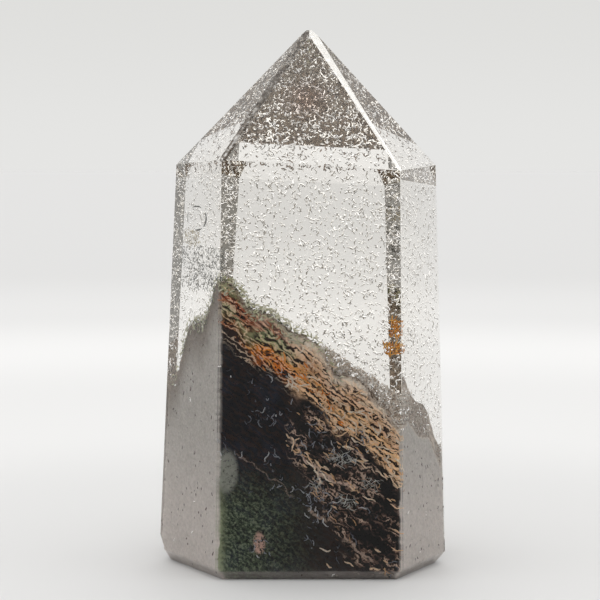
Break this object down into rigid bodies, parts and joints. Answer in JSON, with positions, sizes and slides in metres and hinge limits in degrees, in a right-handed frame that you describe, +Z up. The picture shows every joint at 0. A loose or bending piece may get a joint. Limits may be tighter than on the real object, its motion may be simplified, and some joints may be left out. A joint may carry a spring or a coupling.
{
  "type": "garden quartz point",
  "caption": "Clear six-sided quartz tower with a pointed top and a dark green and rust mineral garden sealed in its lower half; stands on its polished base.",
  "frame": {"origin": "middle of the base's box, on the surface that the point stands on", "axes": "+Z up along the crystal to its point, -Y out of the broad front face, +X to the right as seen from the front"},
  "size_m": [0.0472, 0.0316, 0.0879],
  "materials": {
    "clear_quartz": "clear, hand-polished faces with fine rounded edges, a slight warm smoke and scattered specks",
    "garden_mineral": "dull mossy chlorite, near black with green, rust-orange and tan bands"
  },
  "bodies": {
    "root": {"quartz_point": "clear_quartz", "garden_inclusion": "garden_mineral"}
  },
  "joints": []
}
